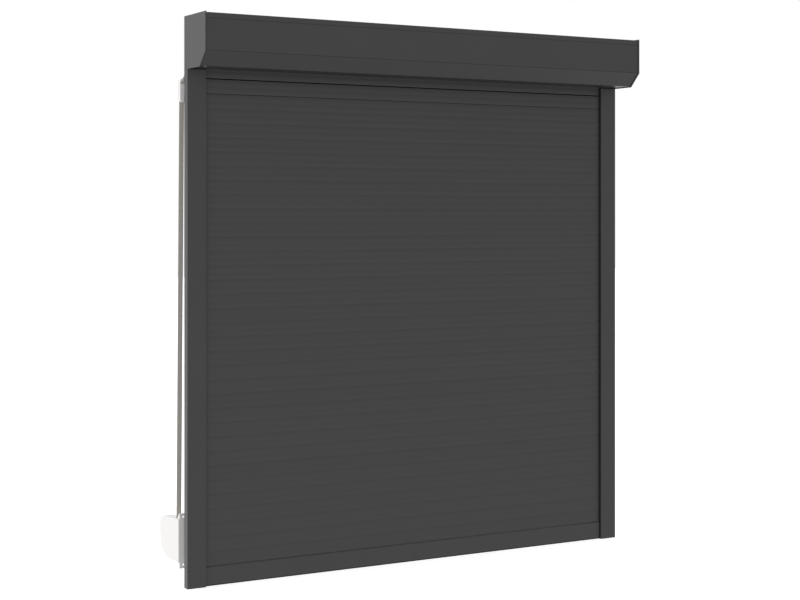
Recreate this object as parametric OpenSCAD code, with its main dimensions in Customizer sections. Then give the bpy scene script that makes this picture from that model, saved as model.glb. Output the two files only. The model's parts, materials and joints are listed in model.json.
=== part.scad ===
// Exterior roller shutter: a box over two guide rails, a slatted curtain wound on a shaft,
// and a strap that runs through the window frame to a spring winder in the room.
// X runs to the right as seen from outside, Y runs into the room, Z runs up.
// The origin is the middle of the rail fixings, on the back plane that lies against the window frame.
// Each module counts its heights from the sill, and placed() then sets it on the origin.

/* [Overall] */
// Width over the two guide rails
overall_w = 1400; // [900:10:1800]
// Height of the guide rails, from the sill to the box
rail_h = 1365; // [900:1:1370]

/* [Box] */
// Height of the box
box_h = 140; // [137:1:165]
// Depth of the box
box_d = 140; // [137:1:165]
// Legs of the sloped lower front corner
box_slope = 39; // [25:1:50]
// Thickness of the end cap plates
cap_t = 3; // [2:0.5:4]
// How far the end caps stand proud of the panels
cap_proud = 2.5; // [1:0.5:3]
// Thickness of the panel sheet
sheet_t = 1.2; // [0.8:0.1:2]
// Height of the rear panel's lip on the front
lip_h = 14; // [8:1:24]
// Height of the tongues behind the seams
tongue_h = 9; // [5:1:12]
// Width of the seams between the panels
seam = 0.8; // [0.4:0.1:1.5]
// Length of the rims that the panels lie on
rim_d = 10; // [8:1:11]
// Thickness of those rims
rim_t = 2; // [1.5:0.5:3]
// Height of the flange along the inspection cover's inner edge
cover_flange = 8; // [5:1:8]

/* [Rails] */
// Width of a guide rail
rail_w = 53; // [50:1:70]
// Depth of a guide rail
rail_d = 22; // [21:0.5:26]
// Thickness of the rail walls
rail_wall = 1.6; // [1.2:0.1:2]
// Width of the rail's closed chamber, with its walls
chamber_w = 27; // [26:1:32]
// Width of the lip seals
seal_w = 5; // [3:0.5:8]
// Thickness of the ribs that hold the lip seals
seal_rib = 1; // [0.8:0.1:1.5]
// Height of those ribs
seal_rib_h = 1.5; // [1:0.1:2]
// Length of the end cap tongues in the rails
cap_tongue_h = 50; // [30:1:80]
// Thickness of the end cap tongues
cap_tongue_t = 6.8; // [4:0.1:7]

/* [Curtain] */
// Distance of the curtain's middle from the back plane
curtain_back = 9.5; // [9:0.5:11]
// Height that one slat covers
slat_pitch = 37.88; // [37.5:0.01:52]
// Depth of a slat in front of its middle, at its two edges
slat_edge = 3; // [2.6:0.1:3.2]
// Depth of a slat in front of its middle, at the crease halfway up
slat_crease = 3.3; // [3.2:0.1:4]
// How far each of a slat's two bands bulges between edge and crease
slat_bulge = 0.4; // [0.3:0.1:1.3]
// Depth of a slat behind its middle, at its two edges
slat_rear = 2.9; // [2.8:0.1:3]
// How far a slat's rear face bulges
slat_rear_bulge = 0.9; // [0:0.1:1]
// Wall thickness of the hollow slats
slat_wall = 0.9; // [0.7:0.1:1.1]
// Gap between two slats that stand on each other
joint_gap = 0.35; // [0.2:0.05:0.6]
// How far the joint under the top slat hangs open
first_open = 2.6; // [0:0.1:2.6]
// How far the next joint down hangs open
second_open = 1; // [0:0.1:2.6]
// Radius of the bead along a slat's upper edge
bead_r = 1.5; // [1.3:0.05:1.6]
// Height of the bead's middle above the joint
bead_up = 4.7; // [4.6:0.1:5.2]
// Thickness of the neck that carries the bead
neck_t = 1.5; // [1:0.1:1.8]
// Width of the mouth that the neck passes through
mouth_w = 2.5; // [2.3:0.1:2.6]
// Radius of the pocket that the bead hangs in
pocket_r = 2.1; // [2:0.05:2.1]
// Height of the lips under the bead
mouth_lip = 1.1; // [0.8:0.1:1.2]
// Side gap between the slats and the rail chamber
slat_side_gap = 1; // [0.5:0.1:3]

/* [End bar] */
// Height of the end bar with its seal
bar_h = 52.5; // [42:0.5:70]
// Depth of the end bar in front of the curtain's middle
bar_front = 5.6; // [5:0.1:6]
// Depth of the end bar behind the curtain's middle
bar_back = 4.4; // [4.2:0.1:5]
// Wall thickness of the end bar
bar_wall = 1.4; // [1:0.1:1.8]
// Height of the seal under the end bar
bar_seal_h = 3.2; // [2:0.1:6]
// Thickness of the plastic end stops
stop_t = 3; // [2:0.5:5]
// Length of the stops' tongues inside the end bar
stop_tongue = 22; // [12:1:40]

/* [Shaft] */
// Size of the octagonal shaft over its flats
shaft_flat = 40; // [36:1:42]
// Wall thickness of the shaft
shaft_wall = 1; // [0.8:0.1:2]
// Length of the end fittings inside the shaft
spigot_l = 40; // [25:1:60]
// Diameter of the axle stubs
axle_d = 12; // [10:0.5:14]
// Outer diameter of the ball bearings
bearing_d = 28; // [24:1:32]
// Width of the ball bearings
bearing_w = 8; // [6:0.5:9]
// Wall thickness of the bearing seats
boss_wall = 3; // [2:0.5:4]
// Width of a hanger strip
hanger_w = 25; // [15:1:40]
// Thickness of a hanger strip
hanger_t = 0.8; // [0.5:0.1:1.2]

/* [Strap] */
// Width of the strap
strap_w = 14; // [12:0.5:14.5]
// Thickness of the strap
strap_t = 1.2; // [0.8:0.1:1.5]
// Gap between the wound layers of the strap
layer_gap = 0.45; // [0.4:0.05:0.6]
// Distance of the strap's middle from the left end
strap_in = 17; // [17:0.5:18]
// Layers on the pulley while the shutter is closed
pulley_turns = 5; // [4:1:6]
// Diameter of the pulley's drum
pulley_drum_d = 60; // [54:1:62]
// Diameter of the pulley's flanges
pulley_d = 92; // [90:1:100]
// Thickness of the pulley's flanges
flange_t = 1.2; // [1:0.1:1.5]
// Radius of the lip that the strap bends over above the rail
lip_r = 2.5; // [2:0.1:3]
// Height of the notch in the rear panel that the strap leaves by
strap_notch_h = 14; // [12:1:20]

/* [Room side] */
// Distance of the room side from the back plane, which is the frame's thickness
room_y = 47; // [40:1:90]
// Radius of the guide roller
roller_r = 4.2; // [4:0.1:4.8]
// Radius of the guide roller's pins
roller_pin_r = 2; // [1.5:0.1:2.5]
// Distance from the room side to the strap where it leaves the roller
strap_out = 11.5; // [11.5:0.5:14]
// Distance of the strap guide's top below the rails' top
guide_down = 19; // [15:0.5:24]
// Height of the strap guide
guide_h = 64; // [56:1:90]
// Depth of the strap guide
guide_d = 17; // [17:0.5:20]
// Wall thickness of the strap guide
guide_wall = 1.3; // [1.2:0.1:2]
// Height of the slot that the strap enters the guide by
guide_slot_h = 5.6; // [5.4:0.2:7]
// Height of the winder's middle above the sill
winder_z = 114.5; // [111.5:0.5:300]
// Width of the winder
winder_w = 28; // [26:0.5:32]
// Height of the winder's plate
winder_plate_h = 147; // [145:1:170]
// Thickness of the winder's plate
winder_plate_t = 3; // [2:0.5:5]
// Width of the tabs at the plate's ends
winder_tab_w = 22; // [20:0.5:26]
// Distance between the winder's fixing holes
winder_fix = 127; // [126:0.5:134]
// Radius of the winder's fixing holes
winder_hole_r = 2.25; // [1.5:0.25:3]
// Height of the winder's case at the plate
case_h = 116; // [112:1:118]
// Depth of the winder's case
case_d = 130; // [126:1:150]
// Slope of the case's top in degrees
case_slope = 3; // [0:0.5:4]
// Radius of the case's upper corner
case_top_r = 30; // [20:1:35]
// Radius of the case's lower corner
case_low_r = 62; // [30:1:64]
// Wall thickness of the case
case_wall = 1.6; // [1.2:0.1:1.8]
// Radius of the case's spindle
spindle_r = 5; // [4:0.5:6]
// Distance of the reel's middle from the plate
reel_from_plate = 70.5; // [66:0.5:74]
// Radius of the reel's drum
reel_drum_r = 37; // [32:0.5:40]
// Radius of the reel's flanges
reel_r = 50; // [46:0.5:52]
// Layers on the reel while the shutter is closed
reel_turns = 2; // [1:1:3]
// Turns of the winder's spring
spring_turns = 8; // [5:1:10]
// Thickness of the winder's spring strip
spring_t = 0.6; // [0.4:0.1:1]

/* [Fixings] */
// Radius of the rail fixing holes
fix_r = 3; // [2:0.25:4]
// Radius of the access holes in the rails' front walls
access_r = 5.5; // [4.5:0.25:7]
// Distance of the lowest fixing holes from the sill
fix_low = 120; // [60:5:200]
// Distance of the highest fixing holes from the rails' top
fix_high = 120; // [90:5:200]
// Radius of the cover screws' shanks
screw_r = 1.6; // [1.2:0.1:2]
// Length of the cover screws' shanks
screw_l = 9; // [6:0.5:14]
// Distance of the cover screws from the slope's lower edge
cover_screw_in = 6; // [5:0.5:12]
// Distance of the cover screws from the box's ends
cover_screw_side = 20; // [16:0.5:22]

/* [Hidden] */
$fn = 48;
// Clearance between pieces that are put together, and between pieces that run on each other
fit = 0.1;
run = 0.3;
// Distance from the strap to the drums and the roller that it lies on
lay = 0.2;
// Gap beside the strap in the guide and on the drums
strap_side = 0.6;
// How far a cutting shape reaches past the face that it cuts
past = 1;

half_w = overall_w / 2;
box_z = rail_h;
fix_mid = (fix_low + rail_h - fix_high) / 2;

// Curtain
curtain_y = -curtain_back;
slat_count = ceil((rail_h - bar_h) / slat_pitch);
slat_half = half_w - chamber_w - slat_side_gap;
slat_top = slat_pitch - joint_gap;
slat_steps = 8;
round_steps = 12;

// Shaft, in the middle of the box
shaft_y = -box_d / 2;
shaft_z = box_z + box_h / 2;
boss_r = bearing_d / 2 + fit + boss_wall;
boss_l = bearing_w + run;
shaft_left = -half_w + strap_in + strap_w / 2 + strap_side + flange_t + fit;
plug_flange = 3;
shaft_right = half_w - cap_t - boss_l - 2 * run - plug_flange;

// The winder's case, from the plate into the room
case_low = winder_z - case_h / 2;
case_back = room_y + winder_plate_t;
case_front = case_back + case_d;
case_top_y = case_front - case_top_r;
case_top_z = case_low + case_h - (case_top_y - case_back) * tan(case_slope) - case_top_r / cos(case_slope);

// Strap: tangent runs from the pulley over the lip and the guide roller to the reel
strap_x = -half_w + strap_in;
layer = strap_t + layer_gap;
pulley_in = pulley_drum_d / 2 + lay + strap_t / 2;
pulley_out = pulley_in + pulley_turns * layer;
shaft_at = [shaft_y, shaft_z];
lip_at = [-lip_r - fit, box_z + lip_r + fit];
lip_path_r = lip_r + lay + strap_t / 2;
to_lip = lip_at - shaft_at;
run1_a = atan2(to_lip[1], to_lip[0]) + asin((pulley_out + lip_path_r) / norm(to_lip));
guide_top = rail_h - guide_down;
roller_down = 22;
roller_path_r = roller_r + lay + strap_t / 2;
roller_at = [room_y + strap_out - roller_path_r, guide_top - roller_down];
to_roller = roller_at - lip_at;
run2_a = atan2(to_roller[1], to_roller[0]) + asin((roller_path_r - lip_path_r) / norm(to_roller));
reel_at = [case_back + reel_from_plate, winder_z];
reel_in = reel_drum_r + lay + strap_t / 2;
reel_out = reel_in + reel_turns * layer;
to_reel = reel_at - roller_at;
run3_a = atan2(to_reel[1], to_reel[0]) - asin((roller_path_r + reel_out) / norm(to_reel));
turn_steps = 40;

// Strap guide
guide_in = strap_w / 2 + strap_side;
guide_half = guide_in + guide_wall;
roller_half = guide_in - run / 2;

// Winder
reel_flange = 1.1;
reel_half = guide_in + reel_flange;
reel_ring_t = 3;
sleeve_l = 5;
sleeve_t = 4;
collar_t = 3;

function slat_name(i) = str("slat_", i < 10 ? "0" : "", i);

// Outlines

function unit(v) = v / norm(v);
function left_of(v) = [-v[1], v[0]];
function arc(c, r, from, to, steps) =
    [for (i = [0:steps]) let (a = from + (to - from) * i / steps) c + r * [cos(a), sin(a)]];

// A strip between two offsets of an open path, with mitred corners; positive offsets lie on the path's left
function edge_normal(path, i) = left_of(unit(path[i + 1] - path[i]));
function corner_normal(path, i) =
    i == 0 ? edge_normal(path, 0)
    : i == len(path) - 1 ? edge_normal(path, i - 1)
    : let (a = edge_normal(path, i - 1), b = edge_normal(path, i)) (a + b) / (1 + a * b);
function strip(path, from, to) = concat(
    [for (i = [0:len(path) - 1]) path[i] + from * corner_normal(path, i)],
    [for (i = [len(path) - 1:-1:0]) path[i] + to * corner_normal(path, i)]);

// The box's section, inset by s: back low, back top, front top, front low, slope low
function box_corner(i, s) = [
    [-s, box_z + s],
    [-s, box_z + box_h - s],
    [-box_d + s, box_z + box_h - s],
    [-box_d + s, box_z + box_slope + s * tan(22.5)],
    [-box_d + box_slope + s * tan(22.5), box_z + s]][i];
function box_section(s) = [for (i = [0:4]) box_corner(i, s)];

// A slat's section: x is depth from the curtain's middle, y is height over the slat's lower edge
function slat_front_at(h) =
    let (half = slat_top / 2, t = h < half ? h / half : (slat_top - h) / half)
    -(slat_edge + (slat_crease - slat_edge) * t + 4 * slat_bulge * t * (1 - t));
function slat_rear_at(h) = let (t = h / slat_top) slat_rear + 4 * slat_rear_bulge * t * (1 - t);
function bead(base) = let (a = asin(neck_t / 2 / bead_r)) concat(
    [[-neck_t / 2, base - joint_gap]],
    arc([0, base + bead_up], bead_r, 270 - a, a - 90, round_steps),
    [[neck_t / 2, base - joint_gap]]);
pocket = concat(
    [[mouth_w / 2, 0], [mouth_w / 2, mouth_lip], [pocket_r, mouth_lip]],
    arc([0, bead_up], pocket_r, 0, 180, round_steps),
    [[-pocket_r, mouth_lip], [-mouth_w / 2, mouth_lip], [-mouth_w / 2, 0]]);
function slat_section() = concat(
    [for (i = [0:2 * slat_steps]) let (h = slat_top * i / (2 * slat_steps)) [slat_front_at(h), h]],
    bead(slat_pitch),
    [for (i = [slat_steps:-1:0]) let (h = slat_top * i / slat_steps) [slat_rear_at(h), h]],
    pocket);
function slat_chamber(low, high) =
    let (heights = [for (i = [0:slat_steps]) low + (high - low) * i / slat_steps]) concat(
        [for (h = heights) [slat_front_at(h) + slat_wall, h]],
        [for (i = [slat_steps:-1:0]) [slat_rear_at(heights[i]) - slat_wall, heights[i]]]);
function slat_z(i) = bar_h + (i - 1) * slat_pitch
    + (i > slat_count - 2 ? second_open : 0) + (i > slat_count - 1 ? first_open : 0);

// The case's outline from its foot at the plate round to its sloped top and back, set in by s
case_path = concat(
    [[case_back, case_low]],
    arc([case_front - case_low_r, case_low + case_low_r], case_low_r, -90, 0, round_steps),
    arc([case_top_y, case_top_z], case_top_r, 0, 90 - case_slope, round_steps),
    [[case_back, case_low + case_h]]);
function case_section(s) =
    [for (i = [0:len(case_path) - 1]) case_path[i] + s * corner_normal(case_path, i)];

// The strap's middle line: out of the pulley's coil, over the lip and roller, into the reel's coil
strap_path = concat(
    [for (i = [0:pulley_turns * turn_steps])
        let (t = i / turn_steps, a = run1_a - 90 + 360 * (t - pulley_turns))
        shaft_at + (pulley_in + layer * t) * [cos(a), sin(a)]],
    arc(lip_at, lip_path_r, run1_a + 90, run2_a + 90, round_steps),
    arc(roller_at, roller_path_r, run2_a + 90, run3_a + 90, round_steps),
    [for (i = [0:reel_turns * turn_steps])
        let (t = i / turn_steps, a = run3_a - 90 + 360 * t)
        reel_at + (reel_out - layer * t) * [cos(a), sin(a)]]);

// Helpers

module placed() {
    translate([0, 0, -fix_mid]) children();
}

// Extrudes a section drawn in Y and Z along X
module along_x(from, to) {
    translate([from, 0, 0]) rotate([90, 0, 90]) linear_extrude(to - from) children();
}

module rod(r, from, to, y, z) {
    translate([from, y, z]) rotate([0, 90, 0]) cylinder(r = r, h = to - from);
}

module octagon(flat) {
    rotate(22.5) circle(r = flat / 2 / cos(22.5), $fn = 8);
}

module octagon_bar(flat, from, to) {
    translate([0, shaft_y, shaft_z]) along_x(from, to) octagon(flat);
}

module both_sides() {
    children();
    mirror([1, 0, 0]) children();
}

// Box

coat = "#434446";
panel_half = half_w - cap_t - fit;
tongue_half = panel_half - rim_d - run;
front_y = -box_d + cap_proud;
lip_z = box_z + box_h - cap_proud - lip_h;
front_low = box_corner(3, cap_proud);
// The front panel stands clear of the sloped end of the inspection cover's sheet
panel_low = front_low + [0, max(seam, sheet_t * sin(45) + fit)];
slot_front = -rail_d - run;
cover_screw_x = -half_w + cover_screw_side;
cover_screw_y = -box_d + box_slope + cover_screw_in;

module box_front_panel() {
    color(coat) {
        along_x(-panel_half, panel_half)
            polygon(strip([panel_low, [front_y, lip_z - seam]], 0, -sheet_t));
        along_x(-tongue_half, tongue_half)
            polygon(strip([[front_y + sheet_t, lip_z - seam - tongue_h],
                [front_y + sheet_t, lip_z + tongue_h]], 0, -sheet_t));
    }
}

module box_rear_panel() {
    notch_half = strap_w / 2 + 3 * strap_side;
    color(coat) difference() {
        along_x(-panel_half, panel_half)
            polygon(strip([box_corner(0, cap_proud), box_corner(1, cap_proud), box_corner(2, cap_proud),
                [front_y, lip_z]], 0, sheet_t));
        translate([-panel_half - past, -cap_proud - sheet_t - past, box_z])
            cube([strap_x + notch_half + panel_half + past, sheet_t + cap_proud + 2 * past, strap_notch_h]);
    }
}

module inspection_cover() {
    color(coat) difference() {
        union() {
            along_x(-panel_half, panel_half)
                polygon(strip([front_low, box_corner(4, cap_proud), [slot_front, box_z + cap_proud],
                    [slot_front, box_z + cap_proud + cover_flange]], 0, sheet_t));
            along_x(-tongue_half, tongue_half)
                polygon(strip(
                    [front_low + [sheet_t, -sheet_t / 2], front_low + [sheet_t, tongue_h]], 0, -sheet_t));
        }
        cover_screw_places() cylinder(r = screw_r + fit, h = 3 * sheet_t, center = true);
    }
}

module cover_screw_places() {
    both_sides() translate([cover_screw_x, cover_screw_y, box_z + cap_proud + sheet_t / 2]) children();
}

module cover_screws() {
    color("#8a8c8e") cover_screw_places() {
        translate([0, 0, -sheet_t / 2 - cap_proud + fit]) difference() {
            cylinder(r = 2 * screw_r, h = cap_proud - fit);
            translate([0, 0, -fit]) cylinder(r = screw_r, h = cap_proud / 2, $fn = 6);
        }
        translate([0, 0, -sheet_t / 2 - fit]) cylinder(r = screw_r, h = screw_l + fit);
    }
}

// The left cap, which is mirrored for the right side
module end_cap() {
    rim_out = cap_proud + sheet_t + fit;
    rim_in = rim_out + rim_t;
    inner = -half_w + cap_t;
    way_h = cover_flange + cap_proud + 4 * sheet_t;
    tongue_x = -half_w + rail_wall + fit;
    tongue_y = rail_d - 2 * rail_wall - 2 * fit;
    screw_deep = screw_l + rim_t;
    lug_half = 2 * screw_r;
    color(coat) difference() {
        union() {
            along_x(-half_w, inner) polygon(box_section(0));
            difference() {
                along_x(inner, inner + rim_d) difference() {
                    polygon(box_section(rim_out));
                    polygon(box_section(rim_in));
                }
                translate([inner, slot_front - sheet_t - run, box_z])
                    cube([rim_d + past, rail_d + 3 * run + sheet_t, way_h]);
            }
            translate([inner, cover_screw_y - lug_half, box_z + rim_out])
                cube([cover_screw_x + lug_half - inner, 2 * lug_half, screw_l]);
            rod(boss_r, inner, inner + boss_l, shaft_y, shaft_z);
            translate([tongue_x, -rail_wall - fit - tongue_y, box_z - cap_tongue_h])
                cube([cap_tongue_t, tongue_y, cap_tongue_h]);
            translate([tongue_x, -rail_wall - fit - tongue_y, box_z - past])
                cube([cap_tongue_t, tongue_y - rim_in + rail_wall, past + way_h / 2]);
        }
        rod(bearing_d / 2 + fit, inner, inner + boss_l + past, shaft_y, shaft_z);
        translate([cover_screw_x, cover_screw_y, box_z])
            cylinder(r = screw_r + fit / 2, h = screw_deep + cap_proud);
    }
}

// The left cap carries the lip that the strap bends over on its way into the window frame
module end_cap_left() {
    color(coat) {
        end_cap();
        rod(lip_r, -half_w + cap_t / 2, strap_x + strap_w / 2 + 2 * strap_side, lip_at[0], lip_at[1]);
    }
}

module end_cap_right() {
    mirror([1, 0, 0]) end_cap();
}

// Rails

fix_heights = [fix_low, rail_h / 2, rail_h - fix_high];
fix_x = half_w - chamber_w / 2;
seal_x = half_w - rail_w + seal_rib;

module rail_section() {
    rib_x = [rail_w - seal_rib, rail_w - 2 * seal_rib - seal_w];
    rib_y = [rail_wall, rail_d - rail_wall - seal_rib_h];
    translate([-half_w, -rail_d]) {
        difference() {
            square([rail_w, rail_d]);
            translate([rail_wall, rail_wall]) square([chamber_w - 2 * rail_wall, rail_d - 2 * rail_wall]);
            translate([chamber_w, rail_wall]) square([rail_w, rail_d - 2 * rail_wall]);
        }
        for (x = rib_x, y = rib_y) translate([x, y]) square([seal_rib, seal_rib_h]);
    }
}

module guide_rail() {
    color(coat) difference() {
        linear_extrude(rail_h) rail_section();
        for (z = fix_heights) translate([-fix_x, 0, z]) rotate([90, 0, 0]) {
            translate([0, 0, -past]) cylinder(r = fix_r, h = rail_wall + 2 * past);
            translate([0, 0, rail_d - rail_wall - past]) cylinder(r = access_r, h = rail_wall + 2 * past);
        }
    }
}

module guide_rail_left() {
    guide_rail();
}

module guide_rail_right() {
    mirror([1, 0, 0]) guide_rail();
}

module rail_plugs() {
    skirt = 3;
    color(coat) both_sides() for (z = fix_heights) translate([fix_x, -rail_d, z]) rotate([-90, 0, 0])
        difference() {
            cylinder(r = access_r - fit, h = rail_wall + skirt);
            translate([0, 0, rail_wall]) cylinder(r = access_r - fit - sheet_t, h = skirt + past);
        }
}

module rail_seals() {
    front = -rail_d + rail_wall;
    to_front = curtain_y - bar_front - run;
    to_rear = curtain_y + bar_back + run;
    color("#151515") both_sides() linear_extrude(rail_h) {
        seal_strip(front, to_front);
        seal_strip(-rail_wall, to_rear);
    }
}

// A seal's foot fills the space between its ribs, and its lip narrows towards the curtain
module seal_strip(from, to) {
    lip = 1.4;
    mid = seal_x + seal_w / 2;
    polygon([[seal_x, from], [seal_x + seal_w, from], [mid + lip, to], [mid - lip, to]]);
}

// Curtain

module slat(i) {
    color(coat) translate([0, curtain_y, slat_z(i)]) along_x(-slat_half, slat_half) difference() {
        polygon(slat_section());
        polygon(slat_chamber(bead_up + pocket_r + slat_wall, slat_top / 2 - slat_wall / 2));
        polygon(slat_chamber(slat_top / 2 + slat_wall / 2, slat_top - slat_wall));
    }
}

bar_top = bar_h - joint_gap;
bar_half = slat_half - stop_t;
groove_lip = 1.2;
groove_mouth = 1.6;
groove_half = 2.9;
groove_h = 3;
bar_bevel = 2.4;
bar_room_low = bar_seal_h + groove_lip + groove_h + bar_wall;

function bar_outline() = [
    [-bar_front, bar_seal_h], [-bar_front, bar_top - bar_bevel], [-slat_edge, bar_top],
    [slat_rear, bar_top], [bar_back, bar_top - bar_bevel], [bar_back, bar_seal_h]];
function bar_room(s) =
    let (front = -bar_front + bar_wall + s, back = bar_back - bar_wall - s)
    let (low = bar_room_low + s, high = bar_top - bar_bevel - bar_wall - s)
    [[front, low], [front, high], [back, high], [back, low]];

module end_bar() {
    color(coat) translate([0, curtain_y, 0]) along_x(-bar_half, bar_half) difference() {
        union() {
            polygon(bar_outline());
            polygon(bead(bar_h));
        }
        polygon(bar_room(0));
        translate([-groove_half, bar_seal_h + groove_lip]) square([2 * groove_half, groove_h]);
        translate([-groove_mouth, 0]) square([2 * groove_mouth, bar_seal_h + groove_lip + groove_h]);
    }
}

module end_bar_seal() {
    head = groove_h - 2 * fit;
    foot = min(bar_front, bar_back) - fit;
    color("#181818") translate([0, curtain_y, 0]) along_x(-bar_half, bar_half) {
        translate([-groove_half + fit, bar_seal_h + groove_lip + fit])
            square([2 * (groove_half - fit), head]);
        translate([-groove_mouth + fit, bar_seal_h / 2])
            square([2 * (groove_mouth - fit), bar_seal_h / 2 + groove_lip + groove_h / 2]);
        polygon([[-foot, bar_seal_h - fit], [-foot + bar_seal_h / 2, 0], [foot - bar_seal_h / 2, 0],
            [foot, bar_seal_h - fit]]);
    }
}

module end_bar_stops() {
    color("#202022") both_sides() translate([0, curtain_y, 0]) {
        along_x(bar_half + fit, slat_half) polygon(bar_outline());
        along_x(bar_half - stop_tongue, bar_half + stop_t / 2) polygon(bar_room(fit));
    }
}

// Shaft

module shaft_tube() {
    color("#b9bcbf") difference() {
        octagon_bar(shaft_flat, shaft_left, shaft_right);
        octagon_bar(shaft_flat - 2 * shaft_wall, shaft_left - past, shaft_right + past);
    }
}

module strap_pulley() {
    from = strap_x - strap_w / 2 - strap_side - flange_t;
    to = strap_x + strap_w / 2 + strap_side + flange_t;
    wall = 3;
    drum_r = pulley_drum_d / 2;
    color("#d9d9d4") {
        difference() {
            union() {
                rod(drum_r, from, to, shaft_y, shaft_z);
                rod(pulley_d / 2, from, from + flange_t, shaft_y, shaft_z);
                rod(pulley_d / 2, to - flange_t, to, shaft_y, shaft_z);
            }
            rod(drum_r - wall, from - past, to - wall, shaft_y, shaft_z);
        }
        rod(axle_d / 2, -half_w + cap_t + run, to, shaft_y, shaft_z);
        octagon_bar(shaft_flat - 2 * shaft_wall - 2 * fit, to - fit, to + spigot_l);
    }
}

module shaft_end_plug() {
    color("#d9d9d4") {
        octagon_bar(shaft_flat - 2 * shaft_wall - 2 * fit, shaft_right - spigot_l, shaft_right + fit);
        octagon_bar(shaft_flat, shaft_right + fit, shaft_right + fit + plug_flange);
        rod(axle_d / 2, shaft_right, half_w - cap_t - run, shaft_y, shaft_z);
    }
}

module shaft_bearings() {
    color("#9fa3a6") both_sides() difference() {
        rod(bearing_d / 2, half_w - cap_t - fit - bearing_w, half_w - cap_t - fit, shaft_y, shaft_z);
        rod(axle_d / 2 + fit, half_w - cap_t - bearing_w - past, half_w - cap_t + past, shaft_y, shaft_z);
    }
}

// Strips from the shaft to clips on the top slat's bead
module slat_hangers() {
    off = shaft_flat / 2 + run + hanger_t / 2;
    flat_half = off * tan(22.5);
    clip_roof = 2;
    clip_h = bead_up + pocket_r + clip_roof;
    clip_half = pocket_r + slat_wall;
    clip_z = slat_z(slat_count) + slat_pitch;
    path = [[shaft_y - flat_half, shaft_z + off], [shaft_y + flat_half, shaft_z + off],
        [shaft_y + off, shaft_z + flat_half], [curtain_y, clip_z + clip_h - hanger_t]];
    color("#8f9396") for (x = [-1, 0, 1]) {
        mid = x * overall_w / 3;
        along_x(mid - hanger_w / 2, mid + hanger_w / 2) {
            polygon(strip(path, -hanger_t / 2, hanger_t / 2));
            translate([curtain_y, clip_z]) polygon(concat(
                [[-clip_half, 0], [-clip_half, clip_h], [clip_half, clip_h], [clip_half, 0]], pocket));
        }
    }
}

// Strap and room side

module strap() {
    color("#8b857b") along_x(strap_x - strap_w / 2, strap_x + strap_w / 2)
        polygon(strip(strap_path, -strap_t / 2, strap_t / 2));
}

// A round-ended shape in X and Z, extruded into the room from y
module capsule(half, low, high, y, depth) {
    translate([strap_x, y + depth, 0]) rotate([90, 0, 0]) linear_extrude(depth) {
        translate([-half, low + half]) square([2 * half, high - low - 2 * half]);
        for (z = [low + half, high - half]) translate([0, z]) circle(r = half);
    }
}

// A housing on the room side: the strap comes in by the slot at its back and leaves at the foot
module strap_guide() {
    low = guide_top - guide_h;
    slot_y = room_y + guide_wall / 2;
    slot_z = roller_at[1] + roller_path_r / cos(run2_a) + (slot_y - roller_at[0]) * tan(run2_a);
    exit_y = room_y + strap_out - 2 * strap_t;
    exit_z = roller_at[1] - 2 * roller_path_r;
    color("#dcdcda") difference() {
        capsule(guide_half, low, guide_top, room_y, guide_d);
        capsule(guide_in, low + guide_wall, guide_top - guide_wall, room_y + guide_wall,
            guide_d - 2 * guide_wall);
        translate([strap_x - guide_in, room_y - past, slot_z - guide_slot_h / 2])
            cube([2 * guide_in, guide_wall + 2 * past, guide_slot_h]);
        translate([strap_x - guide_in, exit_y, low - past])
            cube([2 * guide_in, guide_d, exit_z - low + past]);
        rod(roller_pin_r + fit, strap_x - guide_half - past, strap_x + guide_half + past,
            roller_at[0], roller_at[1]);
    }
}

module guide_roller() {
    color("#c9c9c6") {
        rod(roller_r, strap_x - roller_half, strap_x + roller_half, roller_at[0], roller_at[1]);
        rod(roller_pin_r, strap_x - guide_half, strap_x + guide_half, roller_at[0], roller_at[1]);
    }
}

// The plate is as wide as the case and has a narrower tab at each end
module winder_plate() {
    plate_low = winder_z - winder_plate_h / 2;
    color("#dcdcda") difference() {
        translate([strap_x, room_y, 0]) {
            translate([-winder_w / 2, 0, case_low]) cube([winder_w, winder_plate_t, case_h]);
            translate([-winder_tab_w / 2, 0, plate_low])
                cube([winder_tab_w, winder_plate_t, winder_plate_h]);
        }
        for (z = [winder_z - winder_fix / 2, winder_z + winder_fix / 2])
            translate([strap_x, room_y + winder_plate_t + past, z])
                rotate([90, 0, 0]) cylinder(r = winder_hole_r, h = winder_plate_t + 2 * past);
    }
}

module winder_case() {
    entry_y = reel_at[0] - reel_out;
    entry_half = 4 * strap_t;
    half = winder_w / 2;
    color("#f4f3f0") {
        difference() {
            along_x(strap_x - half, strap_x + half) polygon(case_section(0));
            along_x(strap_x - half + case_wall, strap_x + half - case_wall) polygon(concat(
                [[case_back - past, case_low + case_wall]],
                case_section(case_wall),
                [[case_back - past, case_low + case_h - case_wall]]));
            translate([strap_x - guide_in, entry_y - entry_half, case_low + case_h - 4 * case_wall])
                cube([2 * guide_in, 2 * entry_half, winder_plate_h]);
        }
        spindle();
        gussets();
    }
}

// The reel's spindle across the case, with a collar on each side of the reel
module spindle() {
    end = (winder_w - case_wall) / 2;
    collar = reel_half + run;
    rod(spindle_r, strap_x - end, strap_x + end, reel_at[0], reel_at[1]);
    rod(spindle_r + collar_t, strap_x - end, strap_x - collar, reel_at[0], reel_at[1]);
    rod(spindle_r + collar_t, strap_x + collar, strap_x + end, reel_at[0], reel_at[1]);
}

// Webs between the upper tab and the case, one on each side of the fixing screw
module gussets() {
    web = 2;
    reach = 14;
    top = winder_z + winder_plate_h / 2;
    foot = case_low + case_h - case_wall;
    for (x = [-winder_tab_w / 2, winder_tab_w / 2 - web])
        along_x(strap_x + x, strap_x + x + web)
            polygon([[case_back, foot], [case_back + reach, foot], [case_back, top]]);
}

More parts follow.
